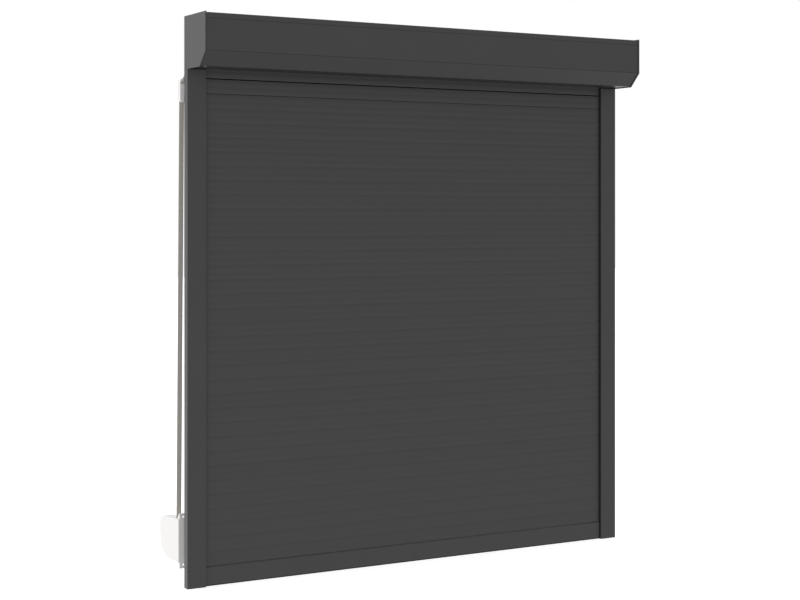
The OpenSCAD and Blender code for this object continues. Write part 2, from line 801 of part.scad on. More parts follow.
module winder_reel() {
    from = strap_x - reel_half;
    to = strap_x + reel_half;
    color("#e6e6e2") difference() {
        union() {
            difference() {
                union() {
                    rod(reel_drum_r, from, to, reel_at[0], reel_at[1]);
                    rod(reel_r, from, from + reel_flange, reel_at[0], reel_at[1]);
                    rod(reel_r, to - reel_flange, to, reel_at[0], reel_at[1]);
                }
                rod(reel_drum_r - reel_ring_t, from + reel_flange, to + past, reel_at[0], reel_at[1]);
            }
            rod(spindle_r + sleeve_t, from, from + sleeve_l, reel_at[0], reel_at[1]);
        }
        rod(spindle_r + fit, from - past, to + past, reel_at[0], reel_at[1]);
    }
}

module winder_spring() {
    from = strap_x - reel_half + sleeve_l + run;
    to = strap_x + reel_half - reel_flange;
    inner = spindle_r + run + spring_t / 2;
    outer = reel_drum_r - reel_ring_t - run - spring_t / 2;
    steps = spring_turns * turn_steps;
    path = [for (i = [0:steps]) let (t = i / steps, a = 360 * spring_turns * t)
        reel_at + (inner + (outer - inner) * t) * [cos(a), sin(a)]];
    color("#6d747c") along_x(from, to) polygon(strip(path, -spring_t / 2, spring_t / 2));
}

placed() box_front_panel();
placed() box_rear_panel();
placed() inspection_cover();
placed() end_cap_left();
placed() end_cap_right();
placed() cover_screws();
placed() guide_rail_left();
placed() guide_rail_right();
placed() rail_plugs();
placed() rail_seals();
placed() shaft_tube();
placed() strap_pulley();
placed() shaft_end_plug();
placed() shaft_bearings();
placed() slat_hangers();
placed() end_bar();
placed() end_bar_seal();
placed() end_bar_stops();
placed() strap();
placed() strap_guide();
placed() guide_roller();
placed() winder_plate();
placed() winder_case();
placed() winder_reel();
placed() winder_spring();
for (i = [1:slat_count])
    placed() slat(i);
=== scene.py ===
import json
from math import asin, atan2, copysign, cos, hypot, pi, radians, sin

import bmesh
import bpy
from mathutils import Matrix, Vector


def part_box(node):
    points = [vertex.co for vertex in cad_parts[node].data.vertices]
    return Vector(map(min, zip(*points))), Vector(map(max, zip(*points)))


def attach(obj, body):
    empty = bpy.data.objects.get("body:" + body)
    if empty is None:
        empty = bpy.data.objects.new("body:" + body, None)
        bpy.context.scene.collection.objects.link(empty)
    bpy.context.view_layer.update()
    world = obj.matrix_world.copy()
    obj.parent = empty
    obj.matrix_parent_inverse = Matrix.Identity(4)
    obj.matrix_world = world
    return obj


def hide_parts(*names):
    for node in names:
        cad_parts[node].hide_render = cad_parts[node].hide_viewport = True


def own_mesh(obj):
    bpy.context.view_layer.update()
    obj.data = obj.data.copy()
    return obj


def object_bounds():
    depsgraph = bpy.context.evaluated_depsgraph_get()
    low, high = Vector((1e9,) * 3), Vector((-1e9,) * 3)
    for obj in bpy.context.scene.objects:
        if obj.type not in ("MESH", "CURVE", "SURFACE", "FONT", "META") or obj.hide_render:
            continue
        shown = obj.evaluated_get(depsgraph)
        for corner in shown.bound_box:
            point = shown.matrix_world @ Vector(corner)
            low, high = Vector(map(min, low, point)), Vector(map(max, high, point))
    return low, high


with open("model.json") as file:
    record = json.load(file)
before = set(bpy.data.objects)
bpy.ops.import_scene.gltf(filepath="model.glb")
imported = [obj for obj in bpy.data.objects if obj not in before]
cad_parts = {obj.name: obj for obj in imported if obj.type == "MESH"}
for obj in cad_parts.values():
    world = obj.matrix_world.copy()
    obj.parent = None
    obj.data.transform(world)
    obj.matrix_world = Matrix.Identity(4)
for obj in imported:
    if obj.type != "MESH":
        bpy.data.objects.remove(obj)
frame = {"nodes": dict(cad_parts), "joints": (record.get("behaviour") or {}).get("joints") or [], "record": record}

mm = 0.001
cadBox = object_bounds()  # the bounds of the imported pieces; the floor is laid at their bottom
scene = bpy.context.scene


# Node kit: an output socket that can be calculated with, and a tree that takes any node

class Wire:
    def __init__(self, board, socket):
        self.board = board
        self.socket = socket

    def math(self, operation, first, second):
        return self.board.add(self.board.mathNode, {"operation": operation}, {0: first, 1: second})

    def __add__(self, other):
        return self.math("ADD", self, other)

    def __radd__(self, other):
        return self.math("ADD", other, self)

    def __sub__(self, other):
        return self.math("SUBTRACT", self, other)

    def __rsub__(self, other):
        return self.math("SUBTRACT", other, self)

    def __mul__(self, other):
        return self.math("MULTIPLY", self, other)

    def __rmul__(self, other):
        return self.math("MULTIPLY", other, self)

    def __truediv__(self, other):
        return self.math("DIVIDE", self, other)

    def __pow__(self, other):
        return self.math("POWER", self, other)


class Board:
    mathNode = "ShaderNodeMath"

    def __init__(self, tree):
        self.tree = tree

    def add(self, kind, settings=None, sockets=None, outlet=0):
        node = self.tree.nodes.new(kind)
        for name, value in (settings or {}).items():
            setattr(node, name, value)
        for name, value in (sockets or {}).items():
            if isinstance(value, Wire):
                self.tree.links.new(value.socket, node.inputs[name])
            else:
                node.inputs[name].default_value = value
        return Wire(self, node.outputs[outlet]) if len(node.outputs) else node

    # Group inputs of a Geometry Nodes tree, by name
    def inlet(self, name, kind):
        self.tree.interface.new_socket(name, in_out="INPUT", socket_type=kind)
        return self.add("NodeGroupInput", outlet=name)

    def join(self, *geometry):
        joined = self.add("GeometryNodeJoinGeometry")
        for wire in geometry:
            self.tree.links.new(wire.socket, joined.socket.node.inputs[0])
        return joined

    def close(self, geometry, material):
        whole = self.add("GeometryNodeRealizeInstances", None, {"Geometry": geometry})
        dressed = self.add("GeometryNodeSetMaterial", None, {"Geometry": whole, "Material": material})
        self.tree.interface.new_socket("Geometry", in_out="OUTPUT", socket_type="NodeSocketGeometry")
        self.add("NodeGroupOutput", None, {"Geometry": dressed})


# Finishes: each noise is given by its scale and its detail

def newFinish(name, fixed):
    material = bpy.data.materials.new(name)
    material.use_nodes = True
    board = Board(material.node_tree)
    surface = material.node_tree.nodes["Principled BSDF"]
    for socket, value in fixed.items():
        surface.inputs[socket].default_value = value
    return material, board, surface


def feed(board, surface, **wires):
    names = {"colour": "Base Color", "rough": "Roughness", "normal": "Normal", "metal": "Metallic"}
    for name, wire in wires.items():
        board.tree.links.new(wire.socket, surface.inputs[names[name]])


def spot(board, stretch=(1, 1, 1)):
    place = board.add("ShaderNodeTexCoord", outlet="Object")
    return board.add("ShaderNodeMapping", None, {"Vector": place, "Scale": stretch})


def noise(board, place, look, rough=0.55):
    scale, detail = look
    sockets = {"Vector": place, "Scale": scale, "Detail": detail, "Roughness": rough}
    return board.add("ShaderNodeTexNoise", None, sockets, "Fac")


def shade(board, colour, amount):
    return board.add("ShaderNodeVectorMath", {"operation": "SCALE"}, {0: colour, "Scale": amount})


def dent(board, height, strength, depth):
    return board.add("ShaderNodeBump", None, {"Height": height, "Strength": strength, "Distance": depth})


coatLook = {
    "colour": (0.0484, 0.0486, 0.049), "gloss": 0.45, "rough": 0.40, "roughSwing": 0.10,
    "drift": (7, 3.0), "driftTone": 0.12,  # soft change of tone over a hand's width
    "grain": (1 / (1.3 * mm), 2.0), "grainTone": 0.08,  # orange peel of the powder
    "grainBump": 0.22, "grainDeep": 0.1 * mm,
}


def powderCoat():
    look = coatLook
    material, board, surface = newFinish("powderCoat", {"Specular IOR Level": look["gloss"]})
    drift = noise(board, spot(board), look["drift"])
    grain = noise(board, spot(board), look["grain"])
    tone = 1 + look["driftTone"] * (drift - 0.5) + look["grainTone"] * (grain - 0.5)
    feed(board, surface,
         colour=shade(board, look["colour"], tone),
         rough=look["rough"] + look["roughSwing"] * (drift + grain - 1),
         normal=dent(board, grain, look["grainBump"], look["grainDeep"]))
    return material


slatCoatLook = {
    "colour": (0.0475, 0.0477, 0.0481), "gloss": 0.45, "rough": 0.42, "roughLines": 0.10,
    "spread": 0.04,  # difference of tone from slat to slat
    "stretch": (1.2, 160, 160), "lines": (1, 3.0), "linesTone": 0.07,  # faint lines along the rolled strip
    "grain": (900, 1.0), "grainTone": 0.06, "grainShare": 0.5, "bump": 0.12, "bumpDeep": 0.1 * mm,
    "joint": (-12.4, -6.9), "jointShadeTone": 0.08,  # depths in mm between which the joints' insides get painted shade
}


def slatCoat():
    look = slatCoatLook
    material, board, surface = newFinish("slatCoat", {"Specular IOR Level": look["gloss"]})
    own = board.add("ShaderNodeAttribute", {"attribute_name": "slatTone"}, outlet="Fac")
    lines = noise(board, spot(board, look["stretch"]), look["lines"])
    grain = noise(board, spot(board), look["grain"])
    depth = board.add("ShaderNodeSeparateXYZ", None, {"Vector": spot(board)}, "Y") / mm
    shallow, deep = look["joint"]
    # painted shade: the insides of the joints between the slats are darkened and dulled, where shade falls
    paintedShade = depth.math("GREATER_THAN", depth, shallow) * depth.math("LESS_THAN", depth, deep)
    tone = 1 + look["spread"] * (own - 0.5) + look["linesTone"] * (lines - 0.5) + look["grainTone"] * (grain - 0.5)
    tone = tone * (1 - (1 - look["jointShadeTone"]) * paintedShade)
    feed(board, surface,
         colour=shade(board, look["colour"], tone),
         metal=paintedShade,  # painted shade: metallic there, so the joints take neither diffuse light nor coat gloss
         rough=look["rough"] + look["roughLines"] * (lines - 0.5),
         normal=dent(board, lines + look["grainShare"] * grain, look["bump"], look["bumpDeep"]))
    return material


rubberLook = {
    "colour": (0.0085, 0.0085, 0.009), "gloss": 0.12, "rough": 0.66, "roughDust": 0.2,
    "dust": (60, 4.0), "clean": 0.7, "dustTone": 0.6,
    "pores": (1600, 1.0), "poreBump": 0.25, "poreDeep": 0.08 * mm,
}


def rubber():
    look = rubberLook
    material, board, surface = newFinish("blackRubber", {"Specular IOR Level": look["gloss"]})
    dust = noise(board, spot(board), look["dust"])
    pores = noise(board, spot(board), look["pores"])
    feed(board, surface,
         colour=shade(board, look["colour"], look["clean"] + look["dustTone"] * dust),
         rough=look["rough"] + look["roughDust"] * dust,
         normal=dent(board, pores, look["poreBump"], look["poreDeep"]))
    return material


plasticLook = {
    "gloss": 0.45, "cloud": (25, 2.0), "cloudTone": 0.05, "cloudRough": 0.10,
    "sparkRough": 0.08, "sparkDeep": 0.06 * mm,  # texture that the mould was given by sparks
    # colour, roughness, and the noise and strength of that texture
    "blackPlastic": ((0.021, 0.021, 0.022), 0.52, (1 / (0.7 * mm), 1.0), 0.25),
    "whitePlastic": ((0.805, 0.792, 0.784), 0.36, (1 / (1.1 * mm), 1.0), 0.10),
    "palePlastic": ((0.66, 0.66, 0.63), 0.50, (1 / (0.9 * mm), 1.0), 0.16),
}


def mouldedPlastic(name):
    look = plasticLook
    colour, rough, sparkNoise, sparkBump = look[name]
    material, board, surface = newFinish(name, {"Specular IOR Level": look["gloss"]})
    cloud = noise(board, spot(board), look["cloud"]) - 0.5
    spark = noise(board, spot(board), sparkNoise)
    feed(board, surface,
         colour=shade(board, colour, 1 + look["cloudTone"] * cloud),
         rough=rough + look["cloudRough"] * cloud + look["sparkRough"] * (spark - 0.5),
         normal=dent(board, spark, sparkBump, look["sparkDeep"]))
    return material


zincLook = {
    # painted shade: a darker copy of the zinc steel, for the cover screws in the shade under the box
    "zincSteel": (0.52, 0.53, 0.545), "shadedZinc": (0.24, 0.24, 0.235),
    "flake": 140.0, "flakeTone": 0.26, "flakeRough": 0.18,  # crystals of the zinc
    "flakeBump": 0.10, "flakeDeep": 0.05 * mm,
    "cloud": (18, 3.0), "cloudTone": 0.12, "cloudRough": 0.08, "tone": 0.80, "rough": 0.30,
}


def zincSteel(name):
    look = zincLook
    material, board, surface = newFinish(name, {"Metallic": 1.0})
    cells = board.add("ShaderNodeTexVoronoi", None, {"Vector": spot(board), "Scale": look["flake"]}, "Color")
    flake = board.add("ShaderNodeSeparateColor", None, {"Color": cells}, "Red")
    cloud = noise(board, spot(board), look["cloud"])
    feed(board, surface,
         colour=shade(board, look[name], look["tone"] + look["flakeTone"] * flake + look["cloudTone"] * cloud),
         rough=look["rough"] + look["flakeRough"] * flake + look["cloudRough"] * cloud,
         normal=dent(board, flake, look["flakeBump"], look["flakeDeep"]))
    return material


springLook = {
    "colour": (0.33, 0.345, 0.37), "tone": 0.75, "rough": 0.26, "roughLines": 0.2,
    "stretch": (400, 40, 40), "lines": (1, 3.0), "linesTone": 0.3,  # marks of rolling the strip
    "linesBump": 0.12, "linesDeep": 0.04 * mm,
    "cloud": (35, 2.0), "cloudTone": 0.2,
}


def springSteel():
    look = springLook
    material, board, surface = newFinish("springSteel", {"Metallic": 1.0})
    lines = noise(board, spot(board, look["stretch"]), look["lines"])
    cloud = noise(board, spot(board), look["cloud"])
    feed(board, surface,
         colour=shade(board, look["colour"], look["tone"] + look["linesTone"] * lines + look["cloudTone"] * cloud),
         rough=look["rough"] + look["roughLines"] * lines,
         normal=dent(board, lines, look["linesBump"], look["linesDeep"]))
    return material


webbingLook = {
    "colour": (0.54, 0.515, 0.475), "gloss": 0.25, "sheen": 0.25, "rough": 0.82, "roughFluff": 0.12,
    "rib": 1.7 * mm, "ribTone": 0.16,  # one crossing of the weft
    "yarn": 1.15 * mm, "weaveTone": 0.28,  # one warp yarn
    "fluff": (2400, 3.0), "fluffTone": 0.25, "tone": 0.70,
    "bump": 0.55, "bumpDeep": 0.25 * mm, "ribShare": 0.5, "fluffShare": 0.3,
}


def webbing():
    look = webbingLook
    material, board, surface = newFinish("strapWebbing",
                                         {"Sheen Weight": look["sheen"], "Specular IOR Level": look["gloss"]})
    run = board.add("ShaderNodeAttribute", {"attribute_name": "strapRun"}, outlet="Fac")
    across = board.add("ShaderNodeAttribute", {"attribute_name": "strapAcross"}, outlet="Fac")

    def wave(value, length):
        return board.add("ShaderNodeMath", {"operation": "SINE"}, {0: value * (2 * pi / length)})

    yarn = wave(across, 2 * look["yarn"])
    over = wave(run, 2 * look["rib"])
    weave = 0.5 + 0.5 * yarn * over  # yarns that pass over and under each other
    rib = 0.5 + 0.5 * wave(run, look["rib"])
    fluff = noise(board, spot(board), look["fluff"])
    tone = look["tone"] + look["weaveTone"] * weave + look["ribTone"] * rib + look["fluffTone"] * (fluff - 0.5)
    height = weave + look["ribShare"] * rib + look["fluffShare"] * fluff
    feed(board, surface,
         colour=shade(board, look["colour"], tone),
         rough=look["rough"] + look["roughFluff"] * (fluff - 0.5),
         normal=dent(board, height, look["bump"], look["bumpDeep"]))
    return material


finishes = {
    "coat": powderCoat(),
    "slat": slatCoat(),
    "rubber": rubber(),
    "blackPlastic": mouldedPlastic("blackPlastic"),
    "whitePlastic": mouldedPlastic("whitePlastic"),
    "palePlastic": mouldedPlastic("palePlastic"),
    "zinc": zincSteel("zincSteel"),
    "shadedZinc": zincSteel("shadedZinc"),
    "spring": springSteel(),
    "webbing": webbing(),
}
slotFinish = {
    "coated_aluminium": "coat",
    "black_rubber": "rubber",
    "black_plastic": "blackPlastic",
    "white_plastic": "whitePlastic",
    "pale_plastic": "palePlastic",
    "zinc_steel": "zinc",
    "spring_steel": "spring",
    "webbing": "webbing",
}
nodeSlot = {part["node"]: part["material_slot"] for part in frame["record"]["subparts"]}
nodeBody = {node: body for body, nodes in frame["record"]["behaviour"]["bodies"].items() for node in nodes}
jointPlace = {joint["name"]: Vector(joint["pos_m"]) for joint in frame["joints"] if joint["type"] == "hinge"}
for node, piece in frame["nodes"].items():
    piece.data.materials.clear()
    piece.data.materials.append(finishes[slotFinish[nodeSlot[node]]])
print("finishes:", len(finishes))


# New pieces, placed at the origin: each has the body of a node, and mostly stands for it

def newPiece(name, mesh, node, standsFor=True):
    piece = bpy.data.objects.new(name, mesh)
    scene.collection.objects.link(piece)
    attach(piece, nodeBody[node])
    if standsFor:
        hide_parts(node)
    return piece


def drop(holder, store):
    data = holder.data
    bpy.data.objects.remove(holder)
    store.remove(data)


def baked(holder):
    depsgraph = bpy.context.evaluated_depsgraph_get()
    mesh = bpy.data.meshes.new_from_object(holder.evaluated_get(depsgraph), depsgraph=depsgraph)
    drop(holder, bpy.data.meshes)
    return mesh


def grown(tree, values, seed=None):
    holder = bpy.data.objects.new("seed", seed or bpy.data.meshes.new("seed"))
    scene.collection.objects.link(holder)
    modifier = holder.modifiers.new("grow", "NODES")
    modifier.node_group = tree
    for item in tree.interface.items_tree:
        if item.in_out == "INPUT" and item.name in values:
            modifier[item.identifier] = values[item.name]
    return baked(holder)


def newTree(name):
    tree = bpy.data.node_groups.new(name, "GeometryNodeTree")
    return tree, Board(tree)


def outline(name, loops, closed=True):
    curve = bpy.data.curves.new(name, "CURVE")
    curve.dimensions = "3D"
    for loop in loops:
        spline = curve.splines.new("POLY")
        spline.points.add(len(loop) - 1)
        for point, place in zip(spline.points, loop):
            point.co = (*place, 0, 1) if len(place) == 2 else (*place, 1)
        spline.use_cyclic_u = closed
    holder = bpy.data.objects.new(name, curve)
    scene.collection.objects.link(holder)
    return holder


def arc(middle, radius, start, end, steps):
    turn = [start + (end - start) * i / steps for i in range(steps + 1)]
    return [(middle[0] + radius * cos(a), middle[1] + radius * sin(a)) for a in turn]


# Pressed, extruded and moulded pieces: the node's own shape with its edges broken

edgeLook = {  # width of the broken edge in mm, and its segments
    "box_front_panel": (0.35, 2),
    "box_rear_panel": (0.35, 2),
    "inspection_cover": (0.35, 2),
    "end_cap_left": (0.7, 3),
    "end_cap_right": (0.7, 3),
    "guide_rail_left": (0.45, 3),
    "guide_rail_right": (0.45, 3),
    "rail_plugs": (0.3, 2),
    "rail_seals": (0.3, 2),
    "end_bar": (0.5, 3),
    "end_bar_seal": (0.4, 2),
    "end_bar_stops": (0.5, 3),
    "strap_guide": (0.4, 3),
    "winder_plate": (0.9, 3),
    "winder_case": (2.0, 4),
    "guide_roller": (0.4, 3),
    "shaft_bearings": (0.5, 2),
}
breakLook = {
    "weld": 0.004 * mm,
    "flat": radians(0.4), "sharp": radians(32),  # turns up to which faces are one, and past which the edge is broken
}


def brokenEdges(node, width, segments):
    shape = bmesh.new()
    shape.from_mesh(frame["nodes"][node].data)
    bmesh.ops.remove_doubles(shape, verts=shape.verts, dist=breakLook["weld"])
    bmesh.ops.dissolve_limit(shape, angle_limit=breakLook["flat"], verts=shape.verts, edges=shape.edges)
    edges = [edge for edge in shape.edges if edge.is_manifold and edge.calc_face_angle() > breakLook["sharp"]]
    bmesh.ops.bevel(shape, geom=edges, offset=width * mm, offset_type="OFFSET", segments=segments,
                    profile=0.5, affect="EDGES", clamp_overlap=True, loop_slide=True)
    for face in shape.faces:
        face.smooth = True
    mesh = bpy.data.meshes.new(node + "Soft")
    shape.to_mesh(mesh)
    shape.free()
    mesh.materials.append(finishes[slotFinish[nodeSlot[node]]])
    holder = bpy.data.objects.new("soft", mesh)
    scene.collection.objects.link(holder)
    holder.modifiers.new("flats", "WEIGHTED_NORMAL").keep_sharp = True
    return newPiece(node + "Soft", baked(holder), node)


softPieces = {node: brokenEdges(node, *look) for node, look in edgeLook.items()}
print("broken edges:", len(softPieces))


# Seals in the rails' mouths: the front lips lean out over the slats. The seals are real; the lean of their black lips
# over the slat ends stands for the shade along the rails' mouths (painted shade)

sealLook = {"root": 18.6, "middle": 11.0, "out": 5.0}  # depths from the back, and how far a lip leans


def leanLipsForShade(piece):
    shape = bmesh.new()
    shape.from_mesh(piece.data)
    root = -sealLook["root"] * mm
    parts = shape.verts[:] + shape.edges[:] + shape.faces[:]
    bmesh.ops.bisect_plane(shape, geom=parts, plane_co=(0, root, 0), plane_no=(0, 1, 0))
    lips = [vertex for vertex in shape.verts if root < vertex.co.y < -sealLook["middle"] * mm]
    tip = max(vertex.co.y for vertex in lips)
    # painted shade: the black lips are pushed out over the slat ends, where shade falls by the rails
    for vertex in lips:
        share = (vertex.co.y - root) / (tip - root)
        vertex.co.x -= copysign(sealLook["out"] * mm * share, vertex.co.x)
    shape.to_mesh(piece.data)
    shape.free()


leanLipsForShade(softPieces["rail_seals"])
print("front lips leant out")


# Slats: one section, extruded for every slat of the curtain

slatLook = {  # in mm and degrees
    "pitch": 37.88, "gap": 0.12, "back": 9.5,
    "edge": 3.0, "crease": 3.3, "bulge": 0.4,  # the two bands of the front
    "rear": 2.9, "rearBulge": 0.9, "wall": 0.9,
    "bead": 1.5, "beadUp": 4.7, "neck": 1.5,  # the bead along the upper edge
    "pocket": 2.1, "mouth": 2.5, "lip": 1.1,  # the pocket that the next bead hangs in
    "steps": 14, "roundSteps": 20, "weld": 0.002, "sharp": 15, "toneSeed": 11,
    "flat": 0.008, "gather": 1.0,  # gathered in the box: the share of its height that is left, and where it lies
}


def slatFront(height):
    half = (slatLook["pitch"] - slatLook["gap"]) / 2
    t = 1 - abs(height / half - 1)
    bow = 4 * slatLook["bulge"] * t * (1 - t)
    return -(slatLook["edge"] + (slatLook["crease"] - slatLook["edge"]) * t + bow)


def slatRear(height):
    t = height / (slatLook["pitch"] - slatLook["gap"])
    return slatLook["rear"] + 4 * slatLook["rearBulge"] * t * (1 - t)


def slatLoops():
    look = slatLook
    top = look["pitch"] - look["gap"]
    steps = look["steps"]
    neck = look["neck"] / 2
    lean = asin(neck / look["bead"])
    rise = [top * i / (2 * steps) for i in range(2 * steps + 1)]
    mouth = look["mouth"] / 2
    outside = (
        [(slatFront(h), h) for h in rise]
        + [(-neck, top)]
        + arc((0, look["pitch"] + look["beadUp"]), look["bead"], pi * 1.5 - lean, lean - pi / 2, look["roundSteps"])
        + [(neck, top)]
        + [(slatRear(h), h) for h in reversed(rise)]
        + [(mouth, 0), (mouth, look["lip"]), (look["pocket"], look["lip"])]
        + arc((0, look["beadUp"]), look["pocket"], 0, pi, look["roundSteps"])
        + [(-look["pocket"], look["lip"]), (-mouth, look["lip"]), (-mouth, 0)])
    floor = look["beadUp"] + look["pocket"] + look["wall"]
    middle = top / 2
    rooms = []
    for low, high in ((floor, middle - look["wall"] / 2), (middle + look["wall"] / 2, top - look["wall"])):
        heights = [low + (high - low) * i / steps for i in range(steps + 1)]
        rooms.append([(slatFront(h) + look["wall"], h) for h in heights]
                     + [(slatRear(h) - look["wall"], h) for h in reversed(heights)])
    return [[(x * mm, y * mm) for x, y in loop] for loop in [outside] + rooms]


def profileTree():
    tree, board = newTree("rolledProfile")
    section = board.inlet("Section", "NodeSocketObject")
    length = board.inlet("Length", "NodeSocketFloat")
    place = board.inlet("Place", "NodeSocketVector")
    number = board.inlet("Number", "NodeSocketInt")
    material = board.inlet("Finish", "NodeSocketMaterial")
    drawn = board.add("GeometryNodeObjectInfo", None, {"Object": section}, "Geometry")
    face = board.add("GeometryNodeFillCurve", {"mode": "TRIANGLES"}, {"Curve": drawn})
    way = board.add("ShaderNodeCombineXYZ", None, {"Z": length})
    pushed = board.add("GeometryNodeExtrudeMesh", {"mode": "FACES"},
                       {"Mesh": face, "Offset": way, "Offset Scale": 1.0, "Individual": False})
    start = board.add("GeometryNodeFlipFaces", None, {"Mesh": face})
    solid = board.add("GeometryNodeMergeByDistance", None,
                      {"Geometry": board.join(pushed, start), "Distance": slatLook["weld"] * mm})
    laid = board.add("GeometryNodeTransform", None,
                     {"Geometry": solid, "Translation": place, "Rotation": (pi / 2, 0, pi / 2)})
    turn = board.add("GeometryNodeInputMeshEdgeAngle", outlet="Unsigned Angle")
    sharp = board.add("FunctionNodeCompare", {"operation": "GREATER_THAN", "data_type": "FLOAT"},
                      {0: turn, 1: radians(slatLook["sharp"])})
    smooth = board.add("GeometryNodeSetShadeSmooth", {"domain": "FACE"}, {"Geometry": laid, "Shade Smooth": True})
    creased = board.add("GeometryNodeSetShadeSmooth", {"domain": "EDGE"},
                        {"Geometry": smooth, "Selection": sharp, "Shade Smooth": False})
    tone = board.add("FunctionNodeRandomValue", {"data_type": "FLOAT"},
                     {"ID": number, "Seed": slatLook["toneSeed"]}, 1)
    toned = board.add("GeometryNodeStoreNamedAttribute", {"data_type": "FLOAT", "domain": "POINT"},
                      {"Geometry": creased, "Name": "slatTone", "Value": tone})
    board.close(toned, material)
    return tree


slatNumbers = {node: int(node[-2:]) for node in sorted(frame["nodes"])
               if node.startswith("slat_") and node[-2:].isdigit()}
section = outline("slatSection", slatLoops())
profile = profileTree()
for node, number in slatNumbers.items():
    low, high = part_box(node)
    values = {"Section": section, "Length": high.x - low.x, "Number": number,
              "Place": (low.x, -slatLook["back"] * mm, low.z), "Finish": finishes["slat"]}
    slat = newPiece(node + "Rolled", grown(profile, values), node)
    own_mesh(slat)
drop(section, bpy.data.curves)
print("slats:", len(slatNumbers))


# Lip seals on the rails' heads, which close the slit between the rails and the box; their black at the slit's front
# stands for the shade in it (painted shade)

headSealLook = {
    "wide": 1.4, "foot": 1.0, "footEdge": 0.6, "lip": 0.6, "high": 4.0, "roundSteps": 8,
    "inset": 0.1, "capWall": 3.2,  # in from the rail's edges, and clear of the end cap's wall
}


def headSealLoop():
    look = headSealLook
    middle = look["wide"] / 2
    half = look["lip"] / 2
    loop = [(0, 0), (look["wide"], 0), (look["wide"], look["footEdge"]), (middle + half, look["foot"])]
    loop += arc((middle, look["high"] - half), half, 0, pi, look["roundSteps"])
    loop += [(middle - half, look["foot"]), (0, look["footEdge"])]
    return [(x * mm, y * mm) for x, y in loop]


section = outline("headSealSection", [headSealLoop()])
headSealEnds = {"left": ("capWall", "inset"), "right": ("inset", "capWall")}
for side, (first, last) in headSealEnds.items():
    low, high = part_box("guide_rail_" + side)
    start = low.x + headSealLook[first] * mm
    end = high.x - headSealLook[last] * mm
    values = {"Section": section, "Length": end - start, "Number": 0,
              "Place": (start, low.y + headSealLook["inset"] * mm, high.z), "Finish": finishes["rubber"]}
    newPiece("headSeal_" + side, grown(profile, values), "rail_seals", standsFor=False)
drop(section, bpy.data.curves)
print("head seals:", len(headSealEnds))


# Strap: webbing from the pulley's coil, over the cap's lip and the guide roller, into the winder's coil

strapLook = {
    "width": 14, "thick": 1.2,
    "lay": 0.2, "layerGap": 0.45,  # clearance under the strap, and between its turns
    "lip": 2.5, "lipFit": 0.1, "drum": 30, "roller": 4.2, "reelDrum": 37,  # radii that it runs over
    "pulleyTurns": 5, "reelTurns": 2, "turnSteps": 72, "bendSteps": 16,
    "step": 3.4,  # length of one ring of the mesh
    "selvage": 0.4, "selvageSteps": 8, "faceSteps": 6,  # rounding of the woven edges
}


def tangent(start, end, offset):
    way = (end[0] - start[0], end[1] - start[1])
    return atan2(way[1], way[0]) + asin(offset / hypot(*way))


def coil(middle, radius, layer, start, turns):
    line = []
    for i in range(turns * strapLook["turnSteps"] + 1):
        turn = i / strapLook["turnSteps"]
        reach, angle = radius + layer * turn, start + 2 * pi * turn
        line.append((middle[0] + reach * cos(angle), middle[1] + reach * sin(angle)))
    return line


def strapLine():
    look = strapLook
    shaft, roller, reel = ((jointPlace[name + "_spin"] / mm).yz for name in ("shaft", "guide_roller", "winder_reel"))
    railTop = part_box("guide_rail_left")[1].z / mm
    lip = (-look["lip"] - look["lipFit"], railTop + look["lip"] + look["lipFit"])
    layer = look["thick"] + look["layerGap"]
    above = look["lay"] + look["thick"] / 2
    pulleyIn = look["drum"] + above
    pulleyOut = pulleyIn + look["pulleyTurns"] * layer
    lipPath = look["lip"] + above
    rollerPath = look["roller"] + above
    reelOut = look["reelDrum"] + above + look["reelTurns"] * layer
    run1 = tangent(shaft, lip, pulleyOut + lipPath)
    run2 = tangent(lip, roller, rollerPath - lipPath)
    run3 = tangent(roller, reel, -rollerPath - reelOut)
    line = coil(shaft, pulleyIn, layer, run1 - pi / 2 - 2 * pi * look["pulleyTurns"], look["pulleyTurns"])
    line += arc(lip, lipPath, run1 + pi / 2, run2 + pi / 2, look["bendSteps"])
    line += arc(roller, rollerPath, run2 + pi / 2, run3 + pi / 2, look["bendSteps"])
    line += coil(reel, reelOut, -layer, run3 - pi / 2, look["reelTurns"])
    x = jointPlace["guide_roller_spin"].x
    return [(x, y * mm, z * mm) for y, z in line]


def strapProfile():
    half = strapLook["width"] / 2 * mm
    thick = strapLook["thick"] / 2 * mm
    edge = strapLook["selvage"] * mm
    rounding = [pi * i / strapLook["selvageSteps"] for i in range(strapLook["selvageSteps"] + 1)]
    across = [1 - 2 * i / strapLook["faceSteps"] for i in range(1, strapLook["faceSteps"])]
    loop = []
    for side in (1, -1):
        loop += [(side * (half - edge + edge * sin(a)), side * thick * cos(a)) for a in rounding]
        loop += [(side * (half - edge) * share, side * -thick) for share in across]
    return loop


